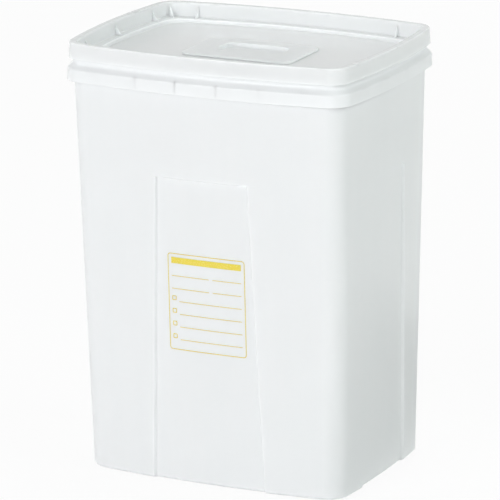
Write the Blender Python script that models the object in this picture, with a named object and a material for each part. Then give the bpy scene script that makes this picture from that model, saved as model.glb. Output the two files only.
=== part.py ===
"""A fifty-litre pail for sharps and medical waste, with a snap-on lid.

Four mouldings: a tapered pail with a ribbed collar under its mouth, a lid whose rim is a channel
that sits over the pail's mouth, a soft seal inside that channel, and a plug cover with a finger
recess that closes the inlet in the middle of the lid. Metres, +Z up, long side along X, front at -Y.
The origin is the middle of the foot.
"""

import math
from collections import namedtuple

import bmesh
import bpy
from mathutils import Matrix, Vector

# Plan of the lid at the foot of its flared skirt, which everything above the wall follows
LID_WIDTH = 0.400
LID_DEPTH = 0.303
LID_CORNER = 0.020
LID_LONG_BOW = 0.015
LID_SHORT_BOW = 0.0108

# Plan of the pail's foot, and the height of the closed container
HEIGHT = 0.552
BASE_WIDTH = 0.3626
BASE_DEPTH = 0.2656
BASE_CORNER = 0.022
BASE_LONG_BOW = 0.013
BASE_SHORT_BOW = 0.0057

# Pail wall, foot and the recessed panels that run out through the foot
WALL = 0.0024
WALL_TOP_INSET = 0.00575
WALL_TOP_CORNER = 0.018
FOOT_ROUND = 0.005
FOOT_INNER_ROUND = 0.005
FOOT_INSET = 0.023
FOOT_INNER_CORNER = 0.016
BASE_RISE = 0.005
PANEL_HEIGHT = 0.395
PANEL_DEPTH = 0.0035
PANEL_RUN = 0.0010
LONG_PANEL_TOP = 0.127
LONG_PANEL_BASE = 0.156
SHORT_PANEL_TOP = 0.088
SHORT_PANEL_BASE = 0.123

# Collar below the mouth, with its ribs, and the neck and bead above it
COLLAR_OUT = 0.0020
COLLAR_FLARE = 0.0008
COLLAR_HEIGHT = 0.018
COLLAR_WALL = 0.0022
COLLAR_ROUND = 0.0015
COLLAR_LIP_ROUND = 0.0008
NECK_SHOW = 0.0095
NECK_INSET = 0.0052
BEAD_INSET = 0.0040
BEAD_HEIGHT = 0.006
BEAD_SLOPE = 0.0015
BEAD_ROUND = 0.0008
RIB_THICK = 0.0016
RIB_RISE = 0.003
LONG_RIBS = 6
SHORT_RIBS = 4
RIB_PITCH = 0.056

# Lid section, from the skirt over the rim and down into the tray
LID_WALL = 0.0020
LID_TOP_WALL = 0.0022
SKIRT_HEIGHT = 0.0205
SKIRT_FLARE = 0.0012
SNAP_HEIGHT = 0.003
SNAP_SLOPE = 0.0012
RIM_ROUND = 0.0025
RIM_OUTER_ROUND = 0.0012
LEDGE_DEPTH = 0.0185
LEDGE_WIDTH = 0.012
STEP_CORNER = 0.016
FLOOR_DEPTH = 0.0235
EDGE_ROUND = 0.001
CREASE_ROUND = 0.0016

# Fins that brace the lid's inner wall and centre a stacked pail
FIN_THICK = 0.0020
FIN_REACH = 0.009
FIN_DROP = 0.0055
LONG_FIN_PLACE = 0.140
SHORT_FIN_PLACE = 0.090

# Inlet in the lid's floor and the plug cover that closes it
COVER_WIDTH = 0.151
COVER_DEPTH = 0.096
COVER_CORNER = 0.012
COVER_HEIGHT = 0.003
COVER_WALL = 0.0020
COVER_FLANGE = 0.008
COVER_ROUND = 0.0012
PLUG_WALL = 0.0018
PLUG_REACH = 0.008
INLET_CORNER = 0.008
INLET_RIM_WALL = 0.0018
INLET_RIM_REACH = 0.006
GRIP_WIDTH = 0.086
GRIP_DEPTH = 0.040
GRIP_CORNER = 0.011
GRIP_SINK = 0.006
GRIP_OFFSET = 0.009
GRIP_ROUND = 0.002

# Seal, and the clearances between pieces
SEAL_THICK = 0.0020
SEAL_ROUND = 0.0007
TOUCH_GAP = 0.0003
SLIDE_GAP = 0.0004
SNAP_GAP = 0.0003

# How finely round stretches are drawn, and how deep a joined rib bites into its wall
CORNER_STEPS = 7
ROUND_STEPS = 4
OUTER_STEPS = 3
LONG_STEPS = 8
SHORT_STEPS = 6
BITE = 0.0008
SHARP_ANGLE = math.radians(30)
LEAST_CORNER = 0.002

# Levels and insets that follow from the sizes above
LID_SKIRT_BOTTOM = HEIGHT - SKIRT_HEIGHT
COLLAR_TOP = LID_SKIRT_BOTTOM - NECK_SHOW
COLLAR_BOTTOM = COLLAR_TOP - COLLAR_HEIGHT
COLLAR_CEILING = COLLAR_TOP - COLLAR_WALL
RIM_TOP = HEIGHT - LID_TOP_WALL - TOUCH_GAP - SEAL_THICK - TOUCH_GAP
PLUG_INSET = NECK_INSET + WALL + SLIDE_GAP
TRAY_INSET = PLUG_INSET + LID_WALL
STEP_INSET = TRAY_INSET + LEDGE_WIDTH
SNAP_INSET = BEAD_INSET - SNAP_GAP

Plan = namedtuple("Plan", "width depth corner long_bow short_bow")
Panels = namedtuple("Panels", "long_half short_half sink")

LID_PLAN = Plan(LID_WIDTH, LID_DEPTH, LID_CORNER, LID_LONG_BOW, LID_SHORT_BOW)
BASE_PLAN = Plan(BASE_WIDTH, BASE_DEPTH, BASE_CORNER, BASE_LONG_BOW, BASE_SHORT_BOW)
COVER_PLAN = Plan(COVER_WIDTH, COVER_DEPTH, COVER_CORNER, 0.0, 0.0)
GRIP_PLAN = Plan(GRIP_WIDTH, GRIP_DEPTH, GRIP_CORNER, 0.0, 0.0)


def grow(plan, by):
    """The plan with its edge moved outward, or inward where the amount is negative."""
    corner = max(plan.corner + by, LEAST_CORNER)
    return plan._replace(width=plan.width + 2 * by, depth=plan.depth + 2 * by, corner=corner)


def mix(low, high, share):
    return low + (high - low) * share


WALL_TOP_PLAN = grow(LID_PLAN, -WALL_TOP_INSET)._replace(corner=WALL_TOP_CORNER)
INLET_PLAN = grow(COVER_PLAN, -COVER_FLANGE)._replace(corner=INLET_CORNER)
STEP_PLAN = grow(LID_PLAN, -STEP_INSET)._replace(corner=STEP_CORNER)
RISE_PLAN = grow(BASE_PLAN, -FOOT_INSET)._replace(corner=FOOT_INNER_CORNER)


def wall_plan(z):
    """The outer plan of the tapered wall at a height."""
    share = z / COLLAR_BOTTOM
    return Plan(*(mix(low, high, share) for low, high in zip(BASE_PLAN, WALL_TOP_PLAN)))


def panels_at(z, sink=0.0, margin=0.0):
    """Half widths of the wall's four panels at a height; they widen towards the foot."""
    share = min(z / PANEL_HEIGHT, 1.0)
    long_half = mix(LONG_PANEL_BASE, LONG_PANEL_TOP, share) / 2 + margin
    short_half = mix(SHORT_PANEL_BASE, SHORT_PANEL_TOP, share) / 2 + margin
    return Panels(long_half, short_half, sink)


def side_stations(half, steps, panel_half):
    """Places along one straight side, without its ends, and whether each lies in the panel."""
    if panel_half is None:
        return [(mix(-half, half, i / steps), False) for i in range(1, steps)]
    inner = panel_half - PANEL_RUN
    outer = [(mix(-half, -panel_half, i / OUTER_STEPS), False) for i in range(1, OUTER_STEPS + 1)]
    panel = [(mix(-inner, inner, i / steps), True) for i in range(steps + 1)]
    mirrored = [(-place, sunk) for place, sunk in reversed(outer)]
    return outer + panel + mirrored


def outline(plan, z, panels=None, shift_y=0.0):
    """A rectangle with round corners and sides that bow outward, counter-clockwise from above."""
    half_x = plan.width / 2 - plan.short_bow
    half_y = plan.depth / 2 - plan.long_bow
    straight_x = half_x - plan.corner
    straight_y = half_y - plan.corner
    sink = panels.sink if panels else 0.0
    long_side = side_stations(straight_x, LONG_STEPS, panels.long_half if panels else None)
    short_side = side_stations(straight_y, SHORT_STEPS, panels.short_half if panels else None)

    def corner(quarter):
        sign_x = 1 if quarter in (0, 3) else -1
        sign_y = 1 if quarter in (0, 1) else -1
        for step in range(CORNER_STEPS + 1):
            turn = math.radians(90) * (quarter + step / CORNER_STEPS)
            yield (sign_x * straight_x + plan.corner * math.cos(turn),
                   sign_y * straight_y + plan.corner * math.sin(turn), 0.0, 0.0)

    flat = [(s, -half_y, 0.0, sink * sunk) for s, sunk in long_side]
    flat += corner(3)
    flat += [(half_x, s, -sink * sunk, 0.0) for s, sunk in short_side]
    flat += corner(0)
    flat += [(-s, half_y, 0.0, -sink * sunk) for s, sunk in long_side]
    flat += corner(1)
    flat += [(-half_x, -s, sink * sunk, 0.0) for s, sunk in short_side]
    flat += corner(2)

    points = []
    for x, y, sink_x, sink_y in flat:
        bowed_x = x + plan.short_bow * (1 - (y / half_y) ** 2) * (x / half_x)
        bowed_y = y + plan.long_bow * (1 - (x / half_x) ** 2) * (y / half_y)
        points.append(Vector((bowed_x + sink_x, bowed_y + sink_y + shift_y, z)))
    return points


def loft(name, rings, closed):
    """One body through rings of equal count, closed on itself or capped at both ends."""
    bm = bmesh.new()
    rows = [[bm.verts.new(point) for point in ring] for ring in rings]
    pairs = list(zip(rows, rows[1:]))
    if closed:
        pairs.append((rows[-1], rows[0]))
    count = len(rows[0])
    for low, high in pairs:
        for i in range(count):
            after = (i + 1) % count
            bm.faces.new((low[i], low[after], high[after], high[i]))
    if not closed:
        bm.faces.new(rows[0])
        bm.faces.new(rows[-1])
    bmesh.ops.recalc_face_normals(bm, faces=bm.faces)
    return finish(name, bm)


def finish(name, bm):
    """An object from a bmesh, smooth where its faces meet gently."""
    mesh = bpy.data.meshes.new(name)
    bm.to_mesh(mesh)
    bm.free()
    mesh.shade_smooth()
    mesh.set_sharp_from_angle(angle=SHARP_ANGLE)
    return bpy.data.objects.new(name, mesh)


def quarter_round(start_inset, start_z, run_inset, run_z, rises_first):
    """Inset and height pairs along a quarter round between two faces, ends included."""
    pairs = []
    for step in range(ROUND_STEPS + 1):
        turn = math.radians(90) * step / ROUND_STEPS
        early, late = math.sin(turn), 1 - math.cos(turn)
        along_inset, along_z = (late, early) if rises_first else (early, late)
        pairs.append((start_inset + run_inset * along_inset, start_z + run_z * along_z))
    return pairs


def plastic(name, colour, roughness):
    """A plain moulded finish."""
    material = bpy.data.materials.new(name)
    material.use_nodes = True
    shader = material.node_tree.nodes["Principled BSDF"]
    shader.inputs["Base Color"].default_value = (*colour, 1.0)
    shader.inputs["Roughness"].default_value = roughness
    shader.inputs["Metallic"].default_value = 0.0
    return material


def join(target, addition):
    """Fuse a hidden helper shape into a part."""
    cutters.objects.link(addition)
    addition.hide_render = True
    addition.display_type = "WIRE"
    addition.parent = target
    fuse = target.modifiers.new("fuse_" + addition.name, "BOOLEAN")
    fuse.operation = "UNION"
    fuse.solver = "EXACT"
    fuse.use_self = True
    fuse.object = addition


def slab(bm, size, middle):
    """A box in a bmesh."""
    matrix = Matrix.Translation(middle) @ Matrix.Diagonal((*size, 1.0))
    bmesh.ops.create_cube(bm, size=1.0, matrix=matrix)


def long_edge(plan, x):
    """How far the long side of a plan lies from the middle at a place along it."""
    half_x = plan.width / 2 - plan.short_bow
    return plan.depth / 2 - plan.long_bow * (x / half_x) ** 2


def short_edge(plan, y):
    half_y = plan.depth / 2 - plan.long_bow
    return plan.width / 2 - plan.short_bow * (y / half_y) ** 2


def spread(count, pitch):
    return [pitch * (i - (count - 1) / 2) for i in range(count)]


def make_pail():
    """The wall, its panels, foot, collar and neck as one loft from the base's underside to its top."""
    rings = []

    def rise_ring(by, z):
        rings.append(outline(grow(RISE_PLAN, by), z, panels_at(z)))

    def wall_ring(inset, z, sink=0.0, margin=0.0):
        rings.append(outline(grow(wall_plan(z), -inset), z, panels_at(z, sink, margin)))

    def mouth_ring(inset, z):
        rings.append(outline(grow(LID_PLAN, -inset), z, panels_at(z)))

    # Underside: a raised base inside a foot, then the round up into the wall
    rise_ring(0.0, BASE_RISE)
    rise_ring(EDGE_ROUND, 0.0)
    for inset, z in quarter_round(FOOT_ROUND, 0.0, -FOOT_ROUND, FOOT_ROUND, False):
        wall_ring(inset, z, PANEL_DEPTH)

    # Panels end in a small slope; the plain wall goes on behind the collar
    wall_ring(0.0, PANEL_HEIGHT, PANEL_DEPTH)
    wall_ring(0.0, PANEL_HEIGHT + PANEL_RUN)
    wall_ring(0.0, COLLAR_CEILING)

    # Collar, hollow underneath and flared a little towards its lip
    collar_top_inset = COLLAR_FLARE - COLLAR_OUT
    mouth_ring(COLLAR_WALL + collar_top_inset, COLLAR_CEILING)
    mouth_ring(COLLAR_WALL - COLLAR_OUT, COLLAR_BOTTOM)
    mouth_ring(COLLAR_LIP_ROUND - COLLAR_OUT, COLLAR_BOTTOM)
    mouth_ring(-COLLAR_OUT, COLLAR_BOTTOM + COLLAR_LIP_ROUND)
    for inset, z in quarter_round(collar_top_inset, COLLAR_TOP - COLLAR_ROUND, COLLAR_ROUND, COLLAR_ROUND, True):
        mouth_ring(inset, z)

    # Neck and the bead that the lid's skirt passes
    bead_bottom = RIM_TOP - BEAD_HEIGHT
    mouth_ring(NECK_INSET, COLLAR_TOP)
    mouth_ring(NECK_INSET, bead_bottom)
    mouth_ring(BEAD_INSET, bead_bottom + BEAD_SLOPE)
    mouth_ring(BEAD_INSET, RIM_TOP - BEAD_ROUND)
    mouth_ring(BEAD_INSET + BEAD_ROUND, RIM_TOP)
    mouth_ring(NECK_INSET + WALL - BEAD_ROUND, RIM_TOP)
    mouth_ring(NECK_INSET + WALL, RIM_TOP - BEAD_ROUND)

    # Inside, down to the gutter behind the foot and up onto the base
    mouth_ring(NECK_INSET + WALL, COLLAR_TOP)
    wall_ring(WALL, COLLAR_BOTTOM, 0.0, WALL)
    wall_ring(WALL, PANEL_HEIGHT + PANEL_RUN + WALL, 0.0, WALL)
    wall_ring(WALL, PANEL_HEIGHT + WALL, PANEL_DEPTH, WALL)
    for inset, z in quarter_round(WALL, WALL + FOOT_INNER_ROUND, FOOT_INNER_ROUND, -FOOT_INNER_ROUND, True):
        wall_ring(inset, z, PANEL_DEPTH, WALL)
    rise_ring(EDGE_ROUND + WALL, WALL)
    rise_ring(WALL, BASE_RISE + WALL)
    return loft("pail", rings, closed=False)


def make_collar_ribs():
    """Upright ribs from the wall to the middle of the collar's thickness."""
    bm = bmesh.new()
    low = COLLAR_BOTTOM + RIB_RISE
    high = COLLAR_CEILING + BITE
    inner_plan = grow(wall_plan(COLLAR_BOTTOM), -BITE)
    outer_plan = grow(LID_PLAN, COLLAR_OUT - (COLLAR_FLARE + COLLAR_WALL) / 2)
    middle_z = (low + high) / 2
    for sign in (-1, 1):
        for x in spread(LONG_RIBS, RIB_PITCH):
            near, far = long_edge(inner_plan, x), long_edge(outer_plan, x)
            slab(bm, (RIB_THICK, far - near, high - low), (x, sign * (near + far) / 2, middle_z))
        for y in spread(SHORT_RIBS, RIB_PITCH):
            near, far = short_edge(inner_plan, y), short_edge(outer_plan, y)
            slab(bm, (far - near, RIB_THICK, high - low), (sign * (near + far) / 2, y, middle_z))
    return finish("collar_ribs", bm)


def make_lid():
    """The lid's section carried round as one closed loft; heights are below the rim."""
    rings = []

    def ring(inset, z):
        rings.append(outline(grow(LID_PLAN, -inset), z))

    def step_ring(by, z):
        rings.append(outline(grow(STEP_PLAN, by), z))

    def inlet_ring(by, z):
        rings.append(outline(grow(INLET_PLAN, by), z))

    # Tray: floor, step, ledge and inner wall
    inlet_ring(0.0, -FLOOR_DEPTH)
    step_ring(0.0, -FLOOR_DEPTH)
    step_ring(0.0, -LEDGE_DEPTH - EDGE_ROUND)
    step_ring(EDGE_ROUND, -LEDGE_DEPTH)
    ring(TRAY_INSET + CREASE_ROUND, -LEDGE_DEPTH)
    ring(TRAY_INSET, -LEDGE_DEPTH + CREASE_ROUND)

    # Rim, and the skirt that flares to its lower edge
    for inset, z in quarter_round(TRAY_INSET, -RIM_ROUND, -RIM_ROUND, RIM_ROUND, True):
        ring(inset, z)
    rim_edge = SKIRT_FLARE + RIM_OUTER_ROUND
    for inset, z in quarter_round(rim_edge, 0.0, -RIM_OUTER_ROUND, -RIM_OUTER_ROUND, False):
        ring(inset, z)
    ring(0.0, -SKIRT_HEIGHT + EDGE_ROUND)
    ring(EDGE_ROUND, -SKIRT_HEIGHT)

    # Snap rib, then the channel over the pail's mouth
    ring(SNAP_INSET, -SKIRT_HEIGHT + SNAP_SLOPE)
    ring(SNAP_INSET, -SKIRT_HEIGHT + SNAP_HEIGHT)
    ring(LID_WALL, -SKIRT_HEIGHT + SNAP_HEIGHT + SNAP_SLOPE)
    ring(SKIRT_FLARE + LID_WALL, -LID_TOP_WALL)
    ring(PLUG_INSET, -LID_TOP_WALL)

    # Underside of the tray and the rim round the inlet
    ring(PLUG_INSET, -LEDGE_DEPTH - LID_WALL)
    step_ring(LID_WALL, -LEDGE_DEPTH - LID_WALL)
    step_ring(LID_WALL, -FLOOR_DEPTH - LID_WALL)
    inlet_ring(INLET_RIM_WALL, -FLOOR_DEPTH - LID_WALL)
    inlet_ring(INLET_RIM_WALL, -FLOOR_DEPTH - INLET_RIM_REACH)
    inlet_ring(0.0, -FLOOR_DEPTH - INLET_RIM_REACH)
    return loft("lid", rings, closed=True)


def fin(bm, wall_point, inward):
    """A triangular fin on the tray's inner wall, standing on the ledge."""
    along = Vector(inward).normalized()
    side = Vector((-along.y, along.x, 0.0)) * (FIN_THICK / 2)
    foot = wall_point - along * BITE
    slope = (LEDGE_DEPTH - FIN_DROP) / FIN_REACH
    top = Vector((0.0, 0.0, -FIN_DROP + BITE * slope))
    heel = Vector((0.0, 0.0, -LEDGE_DEPTH - BITE))
    toe = along * (FIN_REACH + BITE + BITE / slope)
    corners = (foot + top, foot + heel, foot + heel + toe)
    face = bm.faces.new([bm.verts.new(point - side) for point in corners])
    made = bmesh.ops.extrude_face_region(bm, geom=[face])
    moved = [item for item in made["geom"] if isinstance(item, bmesh.types.BMVert)]
    bmesh.ops.translate(bm, verts=moved, vec=side * 2)


def make_fins():
    """Fins on the long walls and the short walls, and one in each corner that points to the middle."""
    tray = grow(LID_PLAN, -TRAY_INSET)
    half_x = tray.width / 2 - tray.short_bow
    half_y = tray.depth / 2 - tray.long_bow
    diagonal = math.sqrt(0.5)
    bm = bmesh.new()
    for sign_y in (-1, 1):
        for x in (-LONG_FIN_PLACE, LONG_FIN_PLACE):
            fin(bm, Vector((x, sign_y * long_edge(tray, x), 0.0)), (0, -sign_y, 0))
        for sign_x in (-1, 1):
            cut = tray.corner * (1 - diagonal)
            corner = Vector((sign_x * (half_x - cut), sign_y * (half_y - cut), 0.0))
            fin(bm, corner, -corner)
    for sign_x in (-1, 1):
        for y in (-SHORT_FIN_PLACE, 0.0, SHORT_FIN_PLACE):
            fin(bm, Vector((sign_x * short_edge(tray, y), y, 0.0)), (-sign_x, 0, 0))
    bmesh.ops.recalc_face_normals(bm, faces=bm.faces)
    return finish("lid_fins", bm)


def make_seal():
    """A soft ring that lies against the channel's ceiling, with round lower edges."""
    outer = SKIRT_FLARE + LID_WALL + TOUCH_GAP
    inner = PLUG_INSET - TOUCH_GAP
    top = -LID_TOP_WALL - TOUCH_GAP
    bottom = top - SEAL_THICK
    section = [(outer, top), (inner, top), (inner, bottom + SEAL_ROUND), (inner - SEAL_ROUND, bottom),
               (outer + SEAL_ROUND, bottom), (outer, bottom + SEAL_ROUND)]
    rings = [outline(grow(LID_PLAN, -inset), z) for inset, z in section]
    return loft("lid_seal", rings, closed=True)


def make_cover():
    """The plug cover as one loft from the finger recess's floor round to its underside."""
    rings = []

    def grip_ring(by, z):
        rings.append(outline(grow(GRIP_PLAN, by), z, shift_y=GRIP_OFFSET))

    def cover_ring(inset, z):
        rings.append(outline(grow(COVER_PLAN, -inset), z))

    def plug_ring(inset, z):
        rings.append(outline(grow(INLET_PLAN, -inset - SLIDE_GAP), z))

    grip_floor = COVER_HEIGHT - GRIP_SINK
    for inset, z in quarter_round(GRIP_ROUND, grip_floor, -GRIP_ROUND, GRIP_ROUND, False):
        grip_ring(-inset, z)
    grip_ring(0.0, COVER_HEIGHT - EDGE_ROUND)
    grip_ring(EDGE_ROUND, COVER_HEIGHT)
    for inset, z in quarter_round(COVER_ROUND, COVER_HEIGHT, -COVER_ROUND, -COVER_ROUND, False):
        cover_ring(inset, z)
    cover_ring(0.0, TOUCH_GAP)
    plug_ring(0.0, TOUCH_GAP)
    plug_ring(0.0, -PLUG_REACH + EDGE_ROUND)
    plug_ring(EDGE_ROUND, -PLUG_REACH)
    plug_ring(PLUG_WALL, -PLUG_REACH)
    plug_ring(PLUG_WALL, COVER_HEIGHT - COVER_WALL)
    grip_ring(COVER_WALL, COVER_HEIGHT - COVER_WALL)
    grip_ring(COVER_WALL, grip_floor - COVER_WALL)
    return loft("inlet_cover", rings, closed=False)


def place(part, material, parent=None, location=(0.0, 0.0, 0.0)):
    parts.objects.link(part)
    part.data.materials.append(material)
    part.parent = parent
    part.location = location


for old in list(bpy.data.objects):
    bpy.data.objects.remove(old)

parts = bpy.data.collections.new("sharps_container")
cutters = bpy.data.collections.new("sharps_container_helpers")
bpy.context.scene.collection.children.link(parts)
bpy.context.scene.collection.children.link(cutters)

pail = make_pail()
place(pail, plastic("pail_polypropylene", (0.87, 0.885, 0.895), 0.32))
join(pail, make_collar_ribs())

# The lid's origin is the middle of its rim, on the line along which it lifts
lid = make_lid()
place(lid, plastic("lid_polypropylene", (0.86, 0.875, 0.88), 0.28), pail, (0.0, 0.0, HEIGHT))
join(lid, make_fins())

seal = make_seal()
place(seal, plastic("seal_rubber", (0.42, 0.43, 0.44), 0.75), lid)

# The cover's origin is the middle of the inlet, level with the lid's floor
cover = make_cover()
place(cover, plastic("cover_polypropylene", (0.86, 0.875, 0.88), 0.28), lid, (0.0, 0.0, -FLOOR_DEPTH))
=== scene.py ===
"""Looks of a large white pail for sharps and medical waste, with its press-on lid.

The pieces follow the order in which the container is put together: pail, write-on print, lid, seal and
inlet cover. The studio and the camera come last. Metres, +Z up, front at -Y.
"""

import math
from collections import namedtuple

import bmesh
import bpy
from mathutils import Matrix, Vector


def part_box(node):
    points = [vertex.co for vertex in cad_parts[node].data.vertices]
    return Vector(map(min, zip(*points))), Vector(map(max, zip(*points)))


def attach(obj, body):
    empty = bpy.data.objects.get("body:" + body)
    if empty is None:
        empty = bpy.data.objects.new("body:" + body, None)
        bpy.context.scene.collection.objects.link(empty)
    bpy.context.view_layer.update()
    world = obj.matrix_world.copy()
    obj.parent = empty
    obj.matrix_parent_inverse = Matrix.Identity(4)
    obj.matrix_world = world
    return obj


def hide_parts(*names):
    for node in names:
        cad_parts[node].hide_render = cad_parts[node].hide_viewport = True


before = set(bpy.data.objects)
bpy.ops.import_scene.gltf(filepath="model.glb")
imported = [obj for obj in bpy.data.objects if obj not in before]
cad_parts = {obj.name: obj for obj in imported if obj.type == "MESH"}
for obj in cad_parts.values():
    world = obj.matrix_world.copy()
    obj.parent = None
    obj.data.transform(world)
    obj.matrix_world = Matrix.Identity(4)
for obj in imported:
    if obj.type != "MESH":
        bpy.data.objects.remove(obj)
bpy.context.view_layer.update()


# Pail
# One injection moulding in white polypropylene, drafted so that empty pails nest, with a panel sunk into
# each side and a hollow collar under its mouth. It is drawn as one skin: from the raised base round the
# foot, up the wall, over the collar, neck and bead, and down the inside to the base again.
pail_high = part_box("pail")[1]
lid_low, lid_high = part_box("lid")
Plan = namedtuple("Plan", "width depth corner long_bow short_bow")
lid_plan = Plan(lid_high.x - lid_low.x, lid_high.y - lid_low.y, 0.020, 0.015, 0.0108)
foot_plan = Plan(0.3626, 0.2656, 0.022, 0.013, 0.0057)
wall_top_inset = 0.00575
wall_top_corner = 0.018
wall = 0.0024
foot_round = 0.005
foot_inset = 0.023
foot_inner_corner = 0.016
base_rise = 0.005
gutter_round = 0.005

collar_out = pail_high.x - lid_high.x
collar_top = 0.522
collar_bottom = 0.504
collar_wall = 0.0022
collar_flare = 0.0008
collar_slope_low = collar_top - 0.0026
collar_slope_high = collar_top + 0.0036
neck_inset = 0.0052
bead_inset = 0.0040
bead_height = 0.006
bead_slope = 0.0015
mouth_z = pail_high.z

panel_top = 0.395
panel_depth = 0.0035
panel_run = 0.0010
panel_slope = 0.0024
panel_ease = 0.0006
long_panel = (0.156, 0.127)
short_panel = (0.123, 0.088)

corner_steps = 12
plain_steps = 7
edge_steps = 8
panel_steps = 12
round_steps = 5


def mix(low, high, share):
    return low + (high - low) * share


def ease(share):
    """Goes from 0 to 1 with no kink at either end."""
    share = min(max(share, 0.0), 1.0)
    return share * share * (3 - 2 * share)


def grown(plan, by, least=0.002):
    """The plan with its edge moved outward, or inward where the amount is negative."""
    corner = max(plan.corner + by, least)
    return plan._replace(width=plan.width + 2 * by, depth=plan.depth + 2 * by, corner=corner)


def wall_plan(z):
    """The outer plan of the drafted wall at a height."""
    top = grown(lid_plan, -wall_top_inset)._replace(corner=wall_top_corner)
    return Plan(*(mix(a, b, z / collar_bottom) for a, b in zip(foot_plan, top)))


def panel_side(half, panel_half):
    """Places along a side with a panel in it, and how far each lies in the panel from 0 to 1."""
    outer = panel_half + panel_ease
    inner = panel_half - panel_slope - panel_ease
    left = [(mix(-half, -outer, i / plain_steps), 0.0) for i in range(1, plain_steps + 1)]
    left += [(mix(-outer, -inner, i / edge_steps), ease(i / edge_steps)) for i in range(1, edge_steps + 1)]
    middle = [(mix(-inner, inner, i / panel_steps), 1.0) for i in range(1, panel_steps)]
    return left + middle + [(-place, sunk) for place, sunk in reversed(left)]


def ring_points(plan, z, long_side, short_side, sink=0.0, shift=0.0):
    """One ring round a plan, anticlockwise from the front: each side is followed by its corner."""
    half = (plan.width / 2 - plan.short_bow, plan.depth / 2 - plan.long_bow)
    points = []

    def add(x, y, sink_x=0.0, sink_y=0.0):
        bow_x = plan.short_bow * (1 - (y / half[1]) ** 2) * (x / half[0])
        bow_y = plan.long_bow * (1 - (x / half[0]) ** 2) * (y / half[1])
        points.append(Vector((x + bow_x + sink_x, y + bow_y + sink_y + shift, z)))

    for quarter in range(4):
        along = Vector(((1, 0), (0, 1), (-1, 0), (0, -1))[quarter])
        out = Vector(((0, -1), (1, 0), (0, 1), (-1, 0))[quarter])
        side, reach = (short_side, half[0]) if quarter % 2 else (long_side, half[1])
        for place, sunk in side:
            add(*(along * place + out * reach), *(-out * sink * sunk))
        middle = out * (reach - plan.corner) + along * (half[quarter % 2] - plan.corner)
        for step in range(corner_steps + 1):
            turn = math.radians(90) * step / corner_steps
            add(*(middle + plan.corner * (out * math.cos(turn) + along * math.sin(turn))))
    return points


def straight_halves(plan):
    return plan.width / 2 - plan.short_bow - plan.corner, plan.depth / 2 - plan.long_bow - plan.corner


def rounded(corners):
    """A section's path with each corner (across, up, radius) turned into a small arc."""
    path = []
    for i, (across, up, radius) in enumerate(corners):
        here = Vector((across, up))
        if radius == 0.0 or i in (0, len(corners) - 1):
            path.append(here)
            continue
        before = Vector(corners[i - 1][:2]) - here
        after = Vector(corners[i + 1][:2]) - here
        start = here + before.normalized() * min(radius, before.length * 0.49)
        end = here + after.normalized() * min(radius, after.length * 0.49)
        for step in range(round_steps + 1):
            share = step / round_steps
            path.append(start.lerp(here, share).lerp(here.lerp(end, share), share))
    return path


def skin(bm, rings, closed):
    """Faces through rings of equal count, closed on itself or capped at both ends."""
    rows = [[bm.verts.new(point) for point in ring] for ring in rings]
    pairs = list(zip(rows, rows[1:])) + ([(rows[-1], rows[0])] if closed else [])
    count = len(rows[0])
    for low, high in pairs:
        for i in range(count):
            bm.faces.new((low[i], low[(i + 1) % count], high[(i + 1) % count], high[i]))
    if not closed:
        bm.faces.new(rows[0])
        bm.faces.new(rows[-1])


def piece(name, bm, body, node):
    """A finished mesh that stands for a CAD node and rides on its body."""
    bmesh.ops.recalc_face_normals(bm, faces=bm.faces)
    mesh = bpy.data.meshes.new(name)
    bm.to_mesh(mesh)
    bm.free()
    mesh.shade_smooth()
    mesh.set_sharp_from_angle(angle=math.radians(45))
    shown = bpy.data.objects.new(name, mesh)
    bpy.context.scene.collection.objects.link(shown)
    even = shown.modifiers.new("even_shading", "WEIGHTED_NORMAL")
    even.keep_sharp = True
    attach(shown, body)
    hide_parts(node)
    return shown


def pail_ring(plan, z, sink=0.0, margin=0.0):
    """A ring of the pail, with the panels' edges in the same places up the wall."""
    share = min(z / panel_top, 1.0)
    half_x, half_y = straight_halves(plan)
    long_side = panel_side(half_x, mix(*long_panel, share) / 2 + margin)
    short_side = panel_side(half_y, mix(*short_panel, share) / 2 + margin)
    return ring_points(plan, z, long_side, short_side, sink)


def sunk_at(z, lift=0.0):
    """How deep the panels lie at a height; they end in a soft slope at the top."""
    start = panel_top + lift - panel_ease
    return panel_depth * (1 - ease((z - start) / (panel_run + 2 * panel_ease)))


rise_plan = grown(foot_plan, -foot_inset)._replace(corner=foot_inner_corner)
rings = []
outer_rise = [(-0.010, base_rise, 0), (0.0, base_rise, 0.001), (0.001, 0.0, 0.001), (0.004, 0.0, 0)]
for by, z in rounded(outer_rise):
    rings.append(pail_ring(grown(rise_plan, by), z))
foot_steps = 8
for step in range(foot_steps + 1):
    turn = math.radians(90) * step / foot_steps
    z = foot_round * (1 - math.cos(turn))
    rings.append(pail_ring(grown(wall_plan(z), -foot_round * (1 - math.sin(turn))), z, panel_depth))
slope_rows = [panel_top - panel_ease + (panel_run + 2 * panel_ease) * i / edge_steps
              for i in range(edge_steps + 1)]
collar_ceiling = collar_top - collar_wall
wall_rows = (0.04, 0.10, 0.18, 0.26, 0.33, 0.38, *slope_rows, 0.42, 0.45, 0.48, collar_ceiling)
for z in wall_rows:
    rings.append(pail_ring(wall_plan(z), z, sunk_at(z)))
collar_top_inset = collar_flare - collar_out
collar_section = [
    (0.0040, collar_ceiling, 0), (collar_wall + collar_top_inset, collar_ceiling, 0.0008),
    (collar_wall - collar_out, collar_bottom, 0.0006), (-collar_out, collar_bottom, 0.0008),
    (collar_top_inset, collar_slope_low, 0.0018), (neck_inset, collar_slope_high, 0.0030),
    (neck_inset, mouth_z - bead_height, 0.0006),
    (bead_inset, mouth_z - bead_height + bead_slope, 0.0006),
    (bead_inset, mouth_z, 0.0009), (neck_inset + wall, mouth_z, 0.0009),
    (neck_inset + wall, collar_top, 0)]
for inset, z in rounded(collar_section):
    rings.append(pail_ring(grown(lid_plan, -inset), z))
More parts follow.
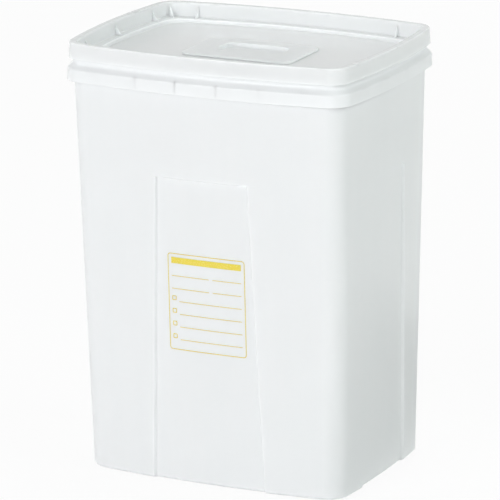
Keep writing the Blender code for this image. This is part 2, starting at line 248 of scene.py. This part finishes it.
inner_slope_rows = [z + wall for z in reversed(slope_rows)]
for z in (collar_bottom, 0.45, *inner_slope_rows, 0.30, 0.15, wall + gutter_round):
    rings.append(pail_ring(grown(wall_plan(z), -wall), z, sunk_at(z, wall), wall))
gutter_steps = 6
for step in range(1, gutter_steps + 1):
    turn = math.radians(90) * step / gutter_steps
    z = wall + gutter_round * (1 - math.sin(turn))
    inset = wall + gutter_round * (1 - math.cos(turn))
    rings.append(pail_ring(grown(wall_plan(z), -inset), z, panel_depth, wall))
inner_rise = [(0.006, wall, 0), (0.001 + wall, wall, 0.001), (wall, base_rise + wall, 0.001),
              (-0.010, base_rise + wall, 0)]
for by, z in rounded(inner_rise):
    rings.append(pail_ring(grown(rise_plan, by), z))
pail_mesh = bmesh.new()
skin(pail_mesh, rings, closed=False)

# Ribs that tie the hollow collar to the wall, seen from below
rib_thick = 0.0016
rib_pitch = 0.056
rib_bite = 0.0008
rib_low, rib_high = collar_bottom + 0.003, collar_ceiling + rib_bite
rib_plan = wall_plan(collar_bottom)
rib_half_x = rib_plan.width / 2 - rib_plan.short_bow
rib_half_y = rib_plan.depth / 2 - rib_plan.long_bow
for count, is_long in ((6, True), (4, False)):
    for i in range(count):
        place = rib_pitch * (i - (count - 1) / 2)
        if is_long:
            near = rib_plan.depth / 2 - rib_plan.long_bow * (place / rib_half_x) ** 2 - rib_bite
        else:
            near = rib_plan.width / 2 - rib_plan.short_bow * (place / rib_half_y) ** 2 - rib_bite
        far = near + wall_top_inset + collar_out - (collar_flare + collar_wall) / 2 + rib_bite
        for sign in (-1, 1):
            across, size = sign * (near + far) / 2, far - near
            at, span = ((place, across), (rib_thick, size)) if is_long else ((across, place), (size, rib_thick))
            middle = Matrix.Translation((*at, (rib_low + rib_high) / 2))
            stretch = Matrix.Diagonal((*span, rib_high - rib_low, 1.0))
            bmesh.ops.create_cube(pail_mesh, size=1.0, matrix=middle @ stretch)
pail = piece("pail_moulding", pail_mesh, "pail", "pail")


def put(tree, kind, **values):
    """A shader node with some of its settings and inputs filled in."""
    node = tree.nodes.new(kind)
    for name, value in values.items():
        if name in node.inputs:
            node.inputs[name].default_value = value
        else:
            setattr(node, name, value)
    return node


def math_node(tree, operation, first, second, third=None):
    """One step of arithmetic on sockets or plain numbers."""
    node = put(tree, "ShaderNodeMath", operation=operation)
    for i, value in enumerate((first, second, third)):
        if value is None:
            continue
        if isinstance(value, (int, float)):
            node.inputs[i].default_value = value
        else:
            tree.links.new(value, node.inputs[i])
    return node.outputs[0]


def spread(tree, value, low, high, to_low=0.0, to_high=1.0):
    """A value stretched from one range to another and held inside it."""
    node = put(tree, "ShaderNodeMapRange", clamp=True)
    tree.links.new(value, node.inputs["Value"])
    for name, number in zip(("From Min", "From Max", "To Min", "To Max"), (low, high, to_low, to_high)):
        node.inputs[name].default_value = number
    return node.outputs["Result"]


def noise(tree, place, scale, detail=2.0, stretch=None):
    """Soft noise at a number of waves a metre, drawn out along an axis where a stretch is given."""
    if stretch:
        mapping = put(tree, "ShaderNodeMapping")
        mapping.inputs["Scale"].default_value = stretch
        tree.links.new(place, mapping.inputs["Vector"])
        place = mapping.outputs["Vector"]
    node = put(tree, "ShaderNodeTexNoise", Scale=scale, Detail=detail)
    tree.links.new(place, node.inputs["Vector"])
    return node.outputs["Fac"]


# What all the white mouldings share: pigment that clouds a little, faint flow streaks from the gate, broad
# ripples where the wall cooled, a fine peel from the mould's skin, and edges scuffed grey by handling
moulded = bpy.data.node_groups.new("moulded_white", "ShaderNodeTree")
for name, kind in (("Pigment", "Color"), ("Thin Pigment", "Color"), ("Scuff Colour", "Color"),
                   ("Satin", "Float"), ("Ripple", "Float"), ("Peel", "Float"),
                   ("Scuff From", "Float"), ("Scuff To", "Float")):
    moulded.interface.new_socket(name, in_out="INPUT", socket_type="NodeSocket" + kind)
for name, kind in (("Colour", "Color"), ("Roughness", "Float"), ("Height", "Float")):
    moulded.interface.new_socket(name, in_out="OUTPUT", socket_type="NodeSocket" + kind)
given = moulded.nodes.new("NodeGroupInput")
made = moulded.nodes.new("NodeGroupOutput")
place = moulded.nodes.new("ShaderNodeTexCoord").outputs["Object"]
cloud = spread(moulded, noise(moulded, place, 6.0, 3.0), 0.36, 0.64)
streak = spread(moulded, noise(moulded, place, 70.0, 2.0, (1.0, 1.0, 0.06)), 0.35, 0.65)
peel = noise(moulded, place, 420.0, 1.0)
ripple = noise(moulded, place, 13.0, 1.0)
cloud_share, streak_share = 0.7, 0.3
thin_share = math_node(moulded, "ADD", math_node(moulded, "MULTIPLY", cloud, cloud_share),
                       math_node(moulded, "MULTIPLY", streak, streak_share))
pigment = put(moulded, "ShaderNodeMix", data_type="RGBA")
moulded.links.new(thin_share, pigment.inputs["Factor"])
moulded.links.new(given.outputs["Pigment"], pigment.inputs["A"])
moulded.links.new(given.outputs["Thin Pigment"], pigment.inputs["B"])

# Scuffs lie between two heights, in broken strokes along the edge
upright = moulded.nodes.new("ShaderNodeSeparateXYZ")
moulded.links.new(place, upright.inputs["Vector"])
reach = put(moulded, "ShaderNodeMapRange", interpolation_type="SMOOTHSTEP")
moulded.links.new(upright.outputs["Z"], reach.inputs["Value"])
moulded.links.new(given.outputs["Scuff From"], reach.inputs["From Min"])
moulded.links.new(given.outputs["Scuff To"], reach.inputs["From Max"])
stroke = spread(moulded, noise(moulded, place, 160.0, 4.0, (0.35, 0.35, 1.6)), 0.50, 0.72)
patch = spread(moulded, noise(moulded, place, 14.0, 2.0), 0.40, 0.65)
scuff = math_node(moulded, "MULTIPLY", math_node(moulded, "MULTIPLY", stroke, patch), reach.outputs["Result"])
scuffed = put(moulded, "ShaderNodeMix", data_type="RGBA")
moulded.links.new(scuff, scuffed.inputs["Factor"])
moulded.links.new(pigment.outputs["Result"], scuffed.inputs["A"])
moulded.links.new(given.outputs["Scuff Colour"], scuffed.inputs["B"])
moulded.links.new(scuffed.outputs["Result"], made.inputs["Colour"])
rough = math_node(moulded, "MULTIPLY_ADD", cloud, 0.05, given.outputs["Satin"])
rough = math_node(moulded, "MULTIPLY_ADD", peel, 0.05, rough)
rough = math_node(moulded, "MULTIPLY_ADD", scuff, 0.25, rough)
moulded.links.new(rough, made.inputs["Roughness"])
height = math_node(moulded, "MULTIPLY", ripple, given.outputs["Ripple"])
height = math_node(moulded, "MULTIPLY_ADD", peel, given.outputs["Peel"], height)
moulded.links.new(height, made.inputs["Height"])


def moulded_plastic(name, pigment, thin_pigment, gloss, satin, ripple, peel, scuff_from, scuff_to):
    """White polypropylene as it comes from one mould, scuffed towards one height."""
    material = bpy.data.materials.new(name)
    material.use_nodes = True
    tree = material.node_tree
    shader = tree.nodes["Principled BSDF"]
    shader.inputs["IOR"].default_value = 1.49
    shader.inputs["Specular IOR Level"].default_value = gloss
    shader.inputs["Subsurface Weight"].default_value = 0.7
    shader.inputs["Subsurface Radius"].default_value = (1.0, 1.0, 1.0)
    shader.inputs["Subsurface Scale"].default_value = 0.005
    look = tree.nodes.new("ShaderNodeGroup")
    look.node_tree = moulded
    for socket, value in (("Pigment", (*pigment, 1.0)), ("Thin Pigment", (*thin_pigment, 1.0)),
                          ("Scuff Colour", (0.62, 0.63, 0.63, 1.0)), ("Satin", satin), ("Ripple", ripple),
                          ("Peel", peel), ("Scuff From", scuff_from), ("Scuff To", scuff_to)):
        look.inputs[socket].default_value = value
    bump = put(tree, "ShaderNodeBump", Strength=1.0, Distance=1.0)
    tree.links.new(look.outputs["Height"], bump.inputs["Height"])
    tree.links.new(look.outputs["Colour"], shader.inputs["Base Color"])
    tree.links.new(look.outputs["Roughness"], shader.inputs["Roughness"])
    tree.links.new(bump.outputs["Normal"], shader.inputs["Normal"])
    return material


pail.data.materials.append(moulded_plastic(
    "pail_white", pigment=(0.918, 0.935, 0.947), thin_pigment=(0.900, 0.922, 0.935), gloss=0.5, satin=0.30,
    ripple=0.0004, peel=0.000003, scuff_from=foot_round, scuff_to=0.0005))


# Write-on print
# A blank ruled form for the ward and the date, screen-printed in yellow ink on the front panel after
# moulding. Each bar is a thin film of ink that follows the panel's curve and rides with the pail.
ink_lift = 0.00008
ink_cell = 0.006
form_left, form_right = -0.050, 0.056
form_low, form_high = 0.174, 0.299
form_corner = 0.004
rule = 0.0010
margin = 0.005
header = 0.008
row_pitch = 0.0165
tick_box = 0.006
tick_corner = 0.0012
thin_rule = rule * 0.8


def panel_front(x, z):
    """The front panel's surface at a place."""
    plan = wall_plan(z)
    half_x = plan.width / 2 - plan.short_bow
    return Vector((x, -(plan.depth / 2 - plan.long_bow * (x / half_x) ** 2) + panel_depth - ink_lift, z))


def ink_bar(bm, left, low, right, high):
    """A rectangle of ink laid on the panel."""
    across = max(1, math.ceil((right - left) / ink_cell))
    up = max(1, math.ceil((high - low) / ink_cell))
    grid = [[bm.verts.new(panel_front(mix(left, right, i / across), mix(low, high, j / up)))
             for i in range(across + 1)] for j in range(up + 1)]
    for j in range(up):
        for i in range(across):
            bm.faces.new((grid[j][i], grid[j][i + 1], grid[j + 1][i + 1], grid[j + 1][i]))


def ink_frame(bm, left, low, right, high, corner):
    """A thin line of ink round a rectangle with round corners."""
    lines = []
    for inset in (0.0, rule):
        line = []
        turn_round = corner - inset
        for quarter, (x, z) in enumerate(((right, high), (left, high), (left, low), (right, low))):
            middle_x = x - math.copysign(corner, x - (left + right) / 2)
            middle_z = z - math.copysign(corner, z - (low + high) / 2)
            for step in range(7):
                turn = math.radians(90) * (quarter + step / 6)
                line.append((middle_x + turn_round * math.cos(turn), middle_z + turn_round * math.sin(turn)))
        full = []
        for (x, z), (next_x, next_z) in zip(line, line[1:] + line[:1]):
            cells = max(1, math.ceil(math.hypot(next_x - x, next_z - z) / ink_cell - 0.35))
            full += [(mix(x, next_x, i / cells), mix(z, next_z, i / cells)) for i in range(cells)]
        lines.append([bm.verts.new(panel_front(x, z)) for x, z in full])
    outer, inner = lines
    for i in range(len(outer)):
        after = (i + 1) % len(outer)
        bm.faces.new((outer[i], outer[after], inner[after], inner[i]))


ink_mesh = bmesh.new()
ink_frame(ink_mesh, form_left, form_low, form_right, form_high, form_corner)
top = form_high - margin
ink_bar(ink_mesh, form_left + margin, top - header, form_right - margin, top)
for row in range(1, 7):
    level = top - header - row * row_pitch
    split = mix(form_left, form_right, 0.56)
    if row <= 2:
        ink_bar(ink_mesh, form_left + margin, level, split - margin / 2, level + thin_rule)
        ink_bar(ink_mesh, split + margin / 2, level, form_right - margin, level + thin_rule)
    else:
        box_left, box_low = form_left + margin, level + margin / 3
        ink_frame(ink_mesh, box_left, box_low, box_left + tick_box, box_low + tick_box, tick_corner)
        ink_bar(ink_mesh, form_left + 3 * margin, level, form_right - margin, level + thin_rule)
mesh = bpy.data.meshes.new("write_on_print")
ink_mesh.to_mesh(mesh)
ink_mesh.free()
mesh.shade_smooth()
print_film = bpy.data.objects.new("write_on_print", mesh)
bpy.context.scene.collection.objects.link(print_film)
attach(print_film, "pail")

thin_ink, full_ink = (0.86, 0.76, 0.22), (0.80, 0.64, 0.055)
ink = bpy.data.materials.new("yellow_ink")
ink.use_nodes = True
tree = ink.node_tree
shader = tree.nodes["Principled BSDF"]
shader.inputs["IOR"].default_value = 1.5
place = tree.nodes.new("ShaderNodeTexCoord").outputs["Object"]
coverage = spread(tree, noise(tree, place, 900.0, 3.0), 0.30, 0.52)
shade = put(tree, "ShaderNodeMix", data_type="RGBA")
shade.inputs["A"].default_value = (*thin_ink, 1.0)
shade.inputs["B"].default_value = (*full_ink, 1.0)
tree.links.new(coverage, shade.inputs["Factor"])
tree.links.new(shade.outputs["Result"], shader.inputs["Base Color"])
tree.links.new(spread(tree, coverage, 0.0, 1.0, 0.5, 0.36), shader.inputs["Roughness"])
print_film.data.materials.append(ink)


# Lid
# One injection moulding in the same white polypropylene, a little glossier. Its rim is a channel that
# presses over the pail's bead; inside the rim a tray steps down to a flat floor with the inlet in it, and
# thin fins brace the tray's wall and centre a stacked pail.
lid_wall = 0.0020
lid_top_wall = 0.0022
skirt_height = 0.0205
skirt_flare = 0.0012
snap_gap = 0.0003
snap_inset = bead_inset - snap_gap
snap_height = 0.003
mouth_gap = 0.0004
plug_inset = neck_inset + wall + mouth_gap
tray_inset = plug_inset + lid_wall
ledge_width = 0.012
step_inset = tray_inset + ledge_width
step_corner = 0.016
ledge_depth = 0.0185
floor_depth = 0.0235
cover_plan = Plan(0.151, 0.096, 0.012, 0.0, 0.0)
cover_overlap = 0.008
inlet_corner = 0.008
inlet_plan = grown(cover_plan, -cover_overlap)._replace(corner=inlet_corner)
inlet_rim_wall = 0.0018
inlet_rim_reach = 0.006
rim_z = lid_high.z
long_steps = 28
short_steps = 20


def plain_ring(plan, z, shift=0.0):
    """A ring with evenly placed points along its sides."""
    half_x, half_y = straight_halves(plan)
    long_side = [(mix(-half_x, half_x, i / long_steps), 0.0) for i in range(1, long_steps)]
    short_side = [(mix(-half_y, half_y, i / short_steps), 0.0) for i in range(1, short_steps)]
    return ring_points(plan, z, long_side, short_side, 0.0, shift)


def lid_ring(inset, depth):
    """A ring of the lid; past the tray's wall its corners open out to suit the step."""
    plan = grown(lid_plan, -inset)
    if inset > tray_inset:
        share = min((inset - tray_inset) / (step_inset - tray_inset), 1.0)
        plan = plan._replace(corner=mix(lid_plan.corner - tray_inset, step_corner, share))
    return plain_ring(plan, rim_z - depth)


rings = []
inlet_rim_depth = floor_depth + inlet_rim_reach
inlet_section = [
    (inlet_rim_wall, floor_depth + lid_wall, 0), (inlet_rim_wall, inlet_rim_depth, 0.0005),
    (0.0, inlet_rim_depth, 0.0005), (0.0, floor_depth, 0.0006), (0.004, floor_depth, 0)]
for by, depth in rounded(inlet_section):
    rings.append(plain_ring(grown(inlet_plan, by), rim_z - depth))
lid_section = [
    (step_inset + 0.004, floor_depth, 0), (step_inset, floor_depth, 0.0016), (step_inset, ledge_depth, 0.0016),
    (tray_inset, ledge_depth, 0.0018), (tray_inset, 0.0, 0.0026),
    (skirt_flare, 0.0, 0.0013), (0.0, skirt_height, 0.0010),
    (0.0016, skirt_height, 0.0004), (snap_inset, skirt_height - 0.0012, 0.0005),
    (snap_inset, skirt_height - snap_height, 0.0005), (lid_wall, skirt_height - snap_height - 0.0012, 0.0005),
    (skirt_flare + lid_wall, lid_top_wall, 0.0006), (plug_inset, lid_top_wall, 0.0006),
    (plug_inset, ledge_depth + lid_wall, 0.0012),
    (step_inset - lid_wall, ledge_depth + lid_wall, 0.0010),
    (step_inset - lid_wall, floor_depth + lid_wall, 0.0010),
    (step_inset + 0.006, floor_depth + lid_wall, 0)]
for inset, depth in rounded(lid_section):
    rings.append(lid_ring(inset, depth))
lid_mesh = bmesh.new()
skin(lid_mesh, rings, closed=True)

# Fins: thin wedges moulded onto the tray's wall and ledge, with their edges broken
fin_thick = 0.0020
fin_reach = 0.009
fin_drop = 0.0055
fin_bite = 0.0008
fin_break = 0.0004
long_fin_place = 0.140
short_fin_place = 0.090
tray_plan = grown(lid_plan, -tray_inset)
tray_half = (tray_plan.width / 2 - tray_plan.short_bow, tray_plan.depth / 2 - tray_plan.long_bow)
fins = []
for sign in (-1, 1):
    for x in (-long_fin_place, long_fin_place):
        y = tray_plan.depth / 2 - tray_plan.long_bow * (x / tray_half[0]) ** 2
        fins.append(((x, sign * y), (0, -sign)))
    for y in (-short_fin_place, 0.0, short_fin_place):
        x = tray_plan.width / 2 - tray_plan.short_bow * (y / tray_half[1]) ** 2
        fins.append(((sign * x, y), (-sign, 0)))
    for other in (-1, 1):
        cut = tray_plan.corner * (1 - math.sqrt(0.5))
        x, y = sign * (tray_half[0] - cut), other * (tray_half[1] - cut)
        fins.append(((x, y), (-x, -y)))
for (x, y), inward in fins:
    along = Vector((*inward, 0)).normalized()
    side = Vector((-along.y, along.x, 0)) * fin_thick / 2
    foot = Vector((x, y, rim_z)) - along * fin_bite
    slope = (ledge_depth - fin_drop) / fin_reach
    heel = foot + Vector((0, 0, -ledge_depth - fin_bite))
    toe = heel + along * (fin_reach + fin_bite + fin_bite / slope)
    corners = (foot + Vector((0, 0, -fin_drop + fin_bite * slope)), heel, toe)
    wedge = bmesh.new()
    face = wedge.faces.new([wedge.verts.new(point - side) for point in corners])
    grew = bmesh.ops.extrude_face_region(wedge, geom=[face])
    moved = [item for item in grew["geom"] if isinstance(item, bmesh.types.BMVert)]
    bmesh.ops.translate(wedge, verts=moved, vec=side * 2)
    bmesh.ops.recalc_face_normals(wedge, faces=wedge.faces)
    bmesh.ops.bevel(wedge, geom=wedge.edges[:], offset=fin_break, segments=2, affect="EDGES",
                    clamp_overlap=True)
    scrap = bpy.data.meshes.new("fin")
    wedge.to_mesh(scrap)
    wedge.free()
    lid_mesh.from_mesh(scrap)
    bpy.data.meshes.remove(scrap)
lid = piece("lid_moulding", lid_mesh, "lid", "lid")
lid.data.materials.append(moulded_plastic(
    "lid_white", pigment=(0.915, 0.932, 0.938), thin_pigment=(0.898, 0.918, 0.925), gloss=0.5, satin=0.11,
    ripple=0.0001, peel=0.000003, scuff_from=rim_z - 0.004, scuff_to=rim_z))


# Lid seal
# A soft ring of grey foam rubber pressed into the lid's channel, where the pail's mouth bears on it. Its
# lower edges are rounded and its skin is finely pitted.
seal_low, seal_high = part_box("lid_seal")
seal_gap = 0.0003
seal_outer = skirt_flare + lid_wall + seal_gap
seal_inner = plug_inset - seal_gap
seal_top, seal_bottom = rim_z - seal_high.z, rim_z - seal_low.z
seal_middle = (seal_outer + seal_inner) / 2
seal_section = [
    (seal_middle, seal_top, 0), (seal_inner, seal_top, 0.0002), (seal_inner, seal_bottom, 0.0007),
    (seal_outer, seal_bottom, 0.0007), (seal_outer, seal_top, 0.0002), (seal_middle + 0.0001, seal_top, 0)]
seal_mesh = bmesh.new()
skin(seal_mesh, [lid_ring(inset, depth) for inset, depth in rounded(seal_section)], closed=True)
seal = piece("seal_ring", seal_mesh, "lid", "lid_seal")

foam = bpy.data.materials.new("foam_rubber")
foam.use_nodes = True
tree = foam.node_tree
shader = tree.nodes["Principled BSDF"]
place = tree.nodes.new("ShaderNodeTexCoord").outputs["Object"]
pits = put(tree, "ShaderNodeTexVoronoi", Scale=1400.0)
tree.links.new(place, pits.inputs["Vector"])
cell = spread(tree, pits.outputs["Distance"], 0.1, 0.6)
tone = put(tree, "ShaderNodeMix", data_type="RGBA")
tone.inputs["A"].default_value = (0.30, 0.31, 0.32, 1.0)
tone.inputs["B"].default_value = (0.46, 0.47, 0.48, 1.0)
tree.links.new(cell, tone.inputs["Factor"])
tree.links.new(tone.outputs["Result"], shader.inputs["Base Color"])
tree.links.new(spread(tree, cell, 0.0, 1.0, 0.9, 0.7), shader.inputs["Roughness"])
bump = put(tree, "ShaderNodeBump", Strength=0.6, Distance=0.0002)
tree.links.new(cell, bump.inputs["Height"])
tree.links.new(bump.outputs["Normal"], shader.inputs["Normal"])
seal.data.materials.append(foam)


# Inlet cover
# A white polypropylene plug pressed into the inlet: a flat plate with a finger recess in it, and a wall
# underneath that grips the inlet's rim. It is pulled straight up to open the inlet.
cover_low, cover_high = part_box("inlet_cover")
cover_wall = 0.0020
plug_wall = 0.0018
plug_gap = 0.0004
grip_plan = Plan(0.086, 0.040, 0.011, 0.0, 0.0)
grip_sink = 0.006
grip_offset = 0.009
cover_top = cover_high.z
cover_gap = 0.0003
cover_under = rim_z - floor_depth + cover_gap
grip_floor = cover_top - grip_sink
plate_under = cover_top - cover_wall
recess_section = [(-0.009, grip_floor, 0), (0.0, grip_floor, 0.0022), (0.0, cover_top, 0.0012),
                  (0.004, cover_top, 0)]
plate_section = [(-0.006, cover_top, 0), (0.0, cover_top, 0.0013), (0.0, cover_under, 0.0004),
                 (-0.004, cover_under, 0)]
plug_section = [(0.002, cover_under, 0), (0.0, cover_under, 0.0005), (0.0, cover_low.z, 0.0008),
                (-plug_wall, cover_low.z, 0.0005), (-plug_wall, plate_under, 0.0006),
                (-plug_wall - 0.003, plate_under, 0)]
under_section = [(cover_wall + 0.002, plate_under, 0), (cover_wall, plate_under, 0.0006),
                 (cover_wall, grip_floor - cover_wall, 0.0010), (-0.009, grip_floor - cover_wall, 0)]
rings = []
for plan, section, by_gap, shift in (
        (grip_plan, recess_section, 0.0, grip_offset), (cover_plan, plate_section, 0.0, 0.0),
        (inlet_plan, plug_section, plug_gap, 0.0), (grip_plan, under_section, 0.0, grip_offset)):
    for by, z in rounded(section):
        rings.append(plain_ring(grown(plan, by - by_gap), z, shift))
cover_mesh = bmesh.new()
skin(cover_mesh, rings, closed=False)
cover = piece("cover_moulding", cover_mesh, "inlet_cover", "inlet_cover")
cover.data.materials.append(moulded_plastic(
    "cover_white", pigment=(0.875, 0.892, 0.897), thin_pigment=(0.860, 0.880, 0.886), gloss=0.3, satin=0.45,
    ripple=0.0002, peel=0.000006, scuff_from=cover_top, scuff_to=cover_top + 0.01))


# Studio
# A pale floor that runs out of sight, six soft lamps and two grey cards that only glossy plastic mirrors. The
# card on the floor is a painted shadow: it stands for the container's own shadow on the floor, as the plastic
# mirrors it.
# The floor and the sky show white to the camera, and the floor still takes a soft shadow under the container.
floor_size = 24.0
bpy.ops.mesh.primitive_plane_add(size=floor_size, location=(0.0, 0.0, -0.0005))
floor = bpy.context.object
floor.name = "studio_floor"


def seen_directly(tree):
    """1 where the camera sees a surface itself, or in a reflection or through glass."""
    path = tree.nodes.new("ShaderNodeLightPath").outputs
    both = math_node(tree, "ADD", path["Is Camera Ray"], path["Is Glossy Ray"])
    total = put(tree, "ShaderNodeMath", operation="ADD", use_clamp=True)
    tree.links.new(both, total.inputs[0])
    tree.links.new(path["Is Transmission Ray"], total.inputs[1])
    return total.outputs[0]


shadow_shows = 0.1
paper = bpy.data.materials.new("studio_paper")
paper.use_nodes = True
tree = paper.node_tree
matt = tree.nodes["Principled BSDF"]
matt.inputs["Base Color"].default_value = (0.94, 0.94, 0.94, 1.0)
matt.inputs["Roughness"].default_value = 0.9
matt.inputs["Specular IOR Level"].default_value = 0.0
white = put(tree, "ShaderNodeEmission", Strength=1.0)
blend = tree.nodes.new("ShaderNodeMixShader")
tree.links.new(math_node(tree, "MULTIPLY", seen_directly(tree), 1.0 - shadow_shows), blend.inputs["Fac"])
tree.links.new(matt.outputs["BSDF"], blend.inputs[1])
tree.links.new(white.outputs["Emission"], blend.inputs[2])
tree.links.new(blend.outputs["Shader"], tree.nodes["Material Output"].inputs["Surface"])
floor.data.materials.append(paper)

sky_level = 0.15
world = bpy.data.worlds.new("studio_sky")
bpy.context.scene.world = world
world.use_nodes = True
tree = world.node_tree
soft = tree.nodes["Background"]
soft.inputs["Color"].default_value = (1.0, 1.0, 1.0, 1.0)
soft.inputs["Strength"].default_value = sky_level
plain_white = put(tree, "ShaderNodeBackground", Strength=1.0)
plain_white.inputs["Color"].default_value = (1.0, 1.0, 1.0, 1.0)
blend = tree.nodes.new("ShaderNodeMixShader")
tree.links.new(seen_directly(tree), blend.inputs["Fac"])
tree.links.new(soft.outputs["Background"], blend.inputs[1])
tree.links.new(plain_white.outputs["Background"], blend.inputs[2])
tree.links.new(blend.outputs["Shader"], tree.nodes["World Output"].inputs["Surface"])

middle = Vector((0.0, 0.0, 0.28))


def soft_lamp(name, place, width, height, power, colour, mirrored=True):
    """A wide lamp that faces the middle of the container; glossy plastic need not mirror it."""
    lamp = bpy.data.lights.new(name, "AREA")
    lamp.shape = "RECTANGLE"
    lamp.size = width
    lamp.size_y = height
    lamp.energy = power
    lamp.color = colour
    holder = bpy.data.objects.new(name, lamp)
    bpy.context.scene.collection.objects.link(holder)
    holder.location = place
    holder.rotation_euler = (middle - Vector(place)).to_track_quat("-Z", "Y").to_euler()
    holder.visible_glossy = mirrored


soft_lamp("front_lamp", (-1.6, -5.6, 2.1), 3.8, 1.8, 184.0, (0.98, 0.99, 1.0))
soft_lamp("camera_lamp", (2.1, -4.2, 1.6), 2.4, 1.4, 36.0, (0.98, 0.99, 1.0))
soft_lamp("side_lamp", (3.8, 0.3, 2.6), 3.0, 1.5, 72.0, (0.93, 1.0, 0.97))
soft_lamp("top_lamp", (-0.3, 0.9, 4.0), 1.6, 1.6, 34.0, (0.99, 1.0, 1.0))
soft_lamp("back_lamp", (-0.6, 4.2, 1.8), 3.0, 1.5, 42.0, (0.97, 1.0, 0.99), mirrored=False)
soft_lamp("left_lamp", (-4.2, 0.8, 1.8), 3.0, 1.5, 30.0, (0.97, 1.0, 0.99), mirrored=False)


def grey_card(name, place, size, tilt, turn, level):
    """A grey card out of the camera's sight, there only to be mirrored by glossy plastic."""
    bpy.ops.mesh.primitive_plane_add(size=1.0, location=place)
    card = bpy.context.object
    card.name = name
    card.scale = (*size, 1.0)
    card.rotation_euler = (tilt, 0.0, turn)
    card.visible_camera = card.visible_diffuse = card.visible_shadow = card.visible_transmission = False
    grey = bpy.data.materials.new(name)
    grey.use_nodes = True
    tree = grey.node_tree
    glow = put(tree, "ShaderNodeEmission", Strength=level)
    tree.links.new(glow.outputs["Emission"], tree.nodes["Material Output"].inputs["Surface"])
    card.data.materials.append(grey)


grey_card("back_card", (-0.69, 1.45, 1.45), (3.4, 1.7), math.radians(90), math.radians(26), 0.85)
# Painted shadow: a dim card on the floor beside and behind the container, so that the lower side mirrors a
# darker floor where the container's own shadow lies
grey_card("floor_shadow_card", (0.40, 0.18, 0.001), (0.40, 0.96), 0.0, 0.0, 0.12)


# Camera
# Stands where the photograph was taken: front right and a little above, far off with a long lens, tilted
# by less than a degree.
azimuth, elevation, roll = math.radians(26.66), math.radians(15.51), math.radians(0.73)
distance = 5.47206
focal_pixels = 4347.8
picture_side = 500
sensor = 36.0
off_right, off_up = 0.00362, 0.00682
back = Vector((math.sin(azimuth) * math.cos(elevation), -math.cos(azimuth) * math.cos(elevation),
               math.sin(elevation)))
level = Vector((math.cos(azimuth), math.sin(azimuth), 0.0))
upright = back.cross(level)
right = level * math.cos(roll) - upright * math.sin(roll)
up = level * math.sin(roll) + upright * math.cos(roll)
camera_data = bpy.data.cameras.new("photo_camera")
camera_data.sensor_width = sensor
camera_data.lens = sensor * focal_pixels / picture_side
camera_data.clip_end = 100.0
camera = bpy.data.objects.new("photo_camera", camera_data)
bpy.context.scene.collection.objects.link(camera)
turn = Matrix((right, up, back)).transposed().to_4x4()
camera.matrix_world = Matrix.Translation(middle + back * distance - right * off_right - up * off_up) @ turn
bpy.context.scene.camera = camera
bpy.context.scene.view_settings.view_transform = "Standard"
